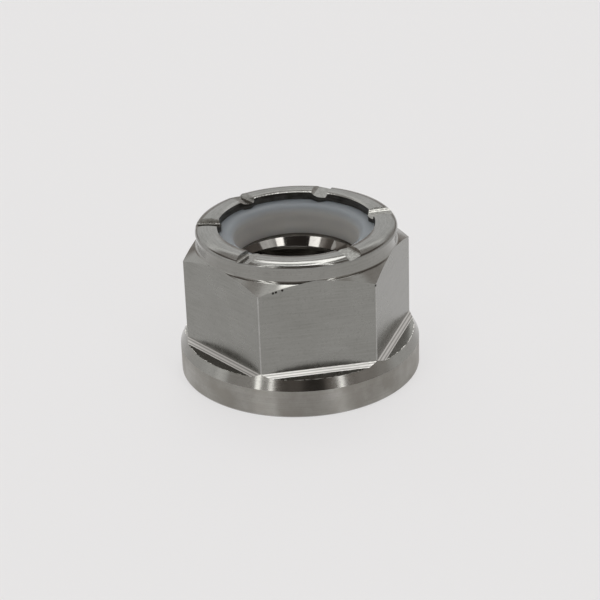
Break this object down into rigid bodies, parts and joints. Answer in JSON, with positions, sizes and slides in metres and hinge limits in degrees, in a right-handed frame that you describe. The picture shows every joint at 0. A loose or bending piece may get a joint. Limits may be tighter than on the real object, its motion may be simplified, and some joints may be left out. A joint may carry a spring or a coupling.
{
  "type": "nylon insert lock nut",
  "caption": "Hexagon lock nut with a round seat flange and a nylon ring crimped into its collar, which grips the bolt's thread so that the nut doesn't shake loose.",
  "frame": {"origin": "centre of the flat seat under the flange, on the thread's axis", "axes": "+Z along the thread's axis, from the seat towards the nylon ring; +X through one corner of the hexagon, so two flats face +Y and -Y"},
  "size_m": [0.022, 0.022, 0.0139],
  "materials": {
    "nut_steel": "satin milled flats, bright turned flange cone and crimped rim",
    "ring_nylon": "translucent bluish-white, satin"
  },
  "bodies": {
    "root": {"nut_body": "nut_steel", "nylon_ring": "ring_nylon"}
  },
  "joints": []
}
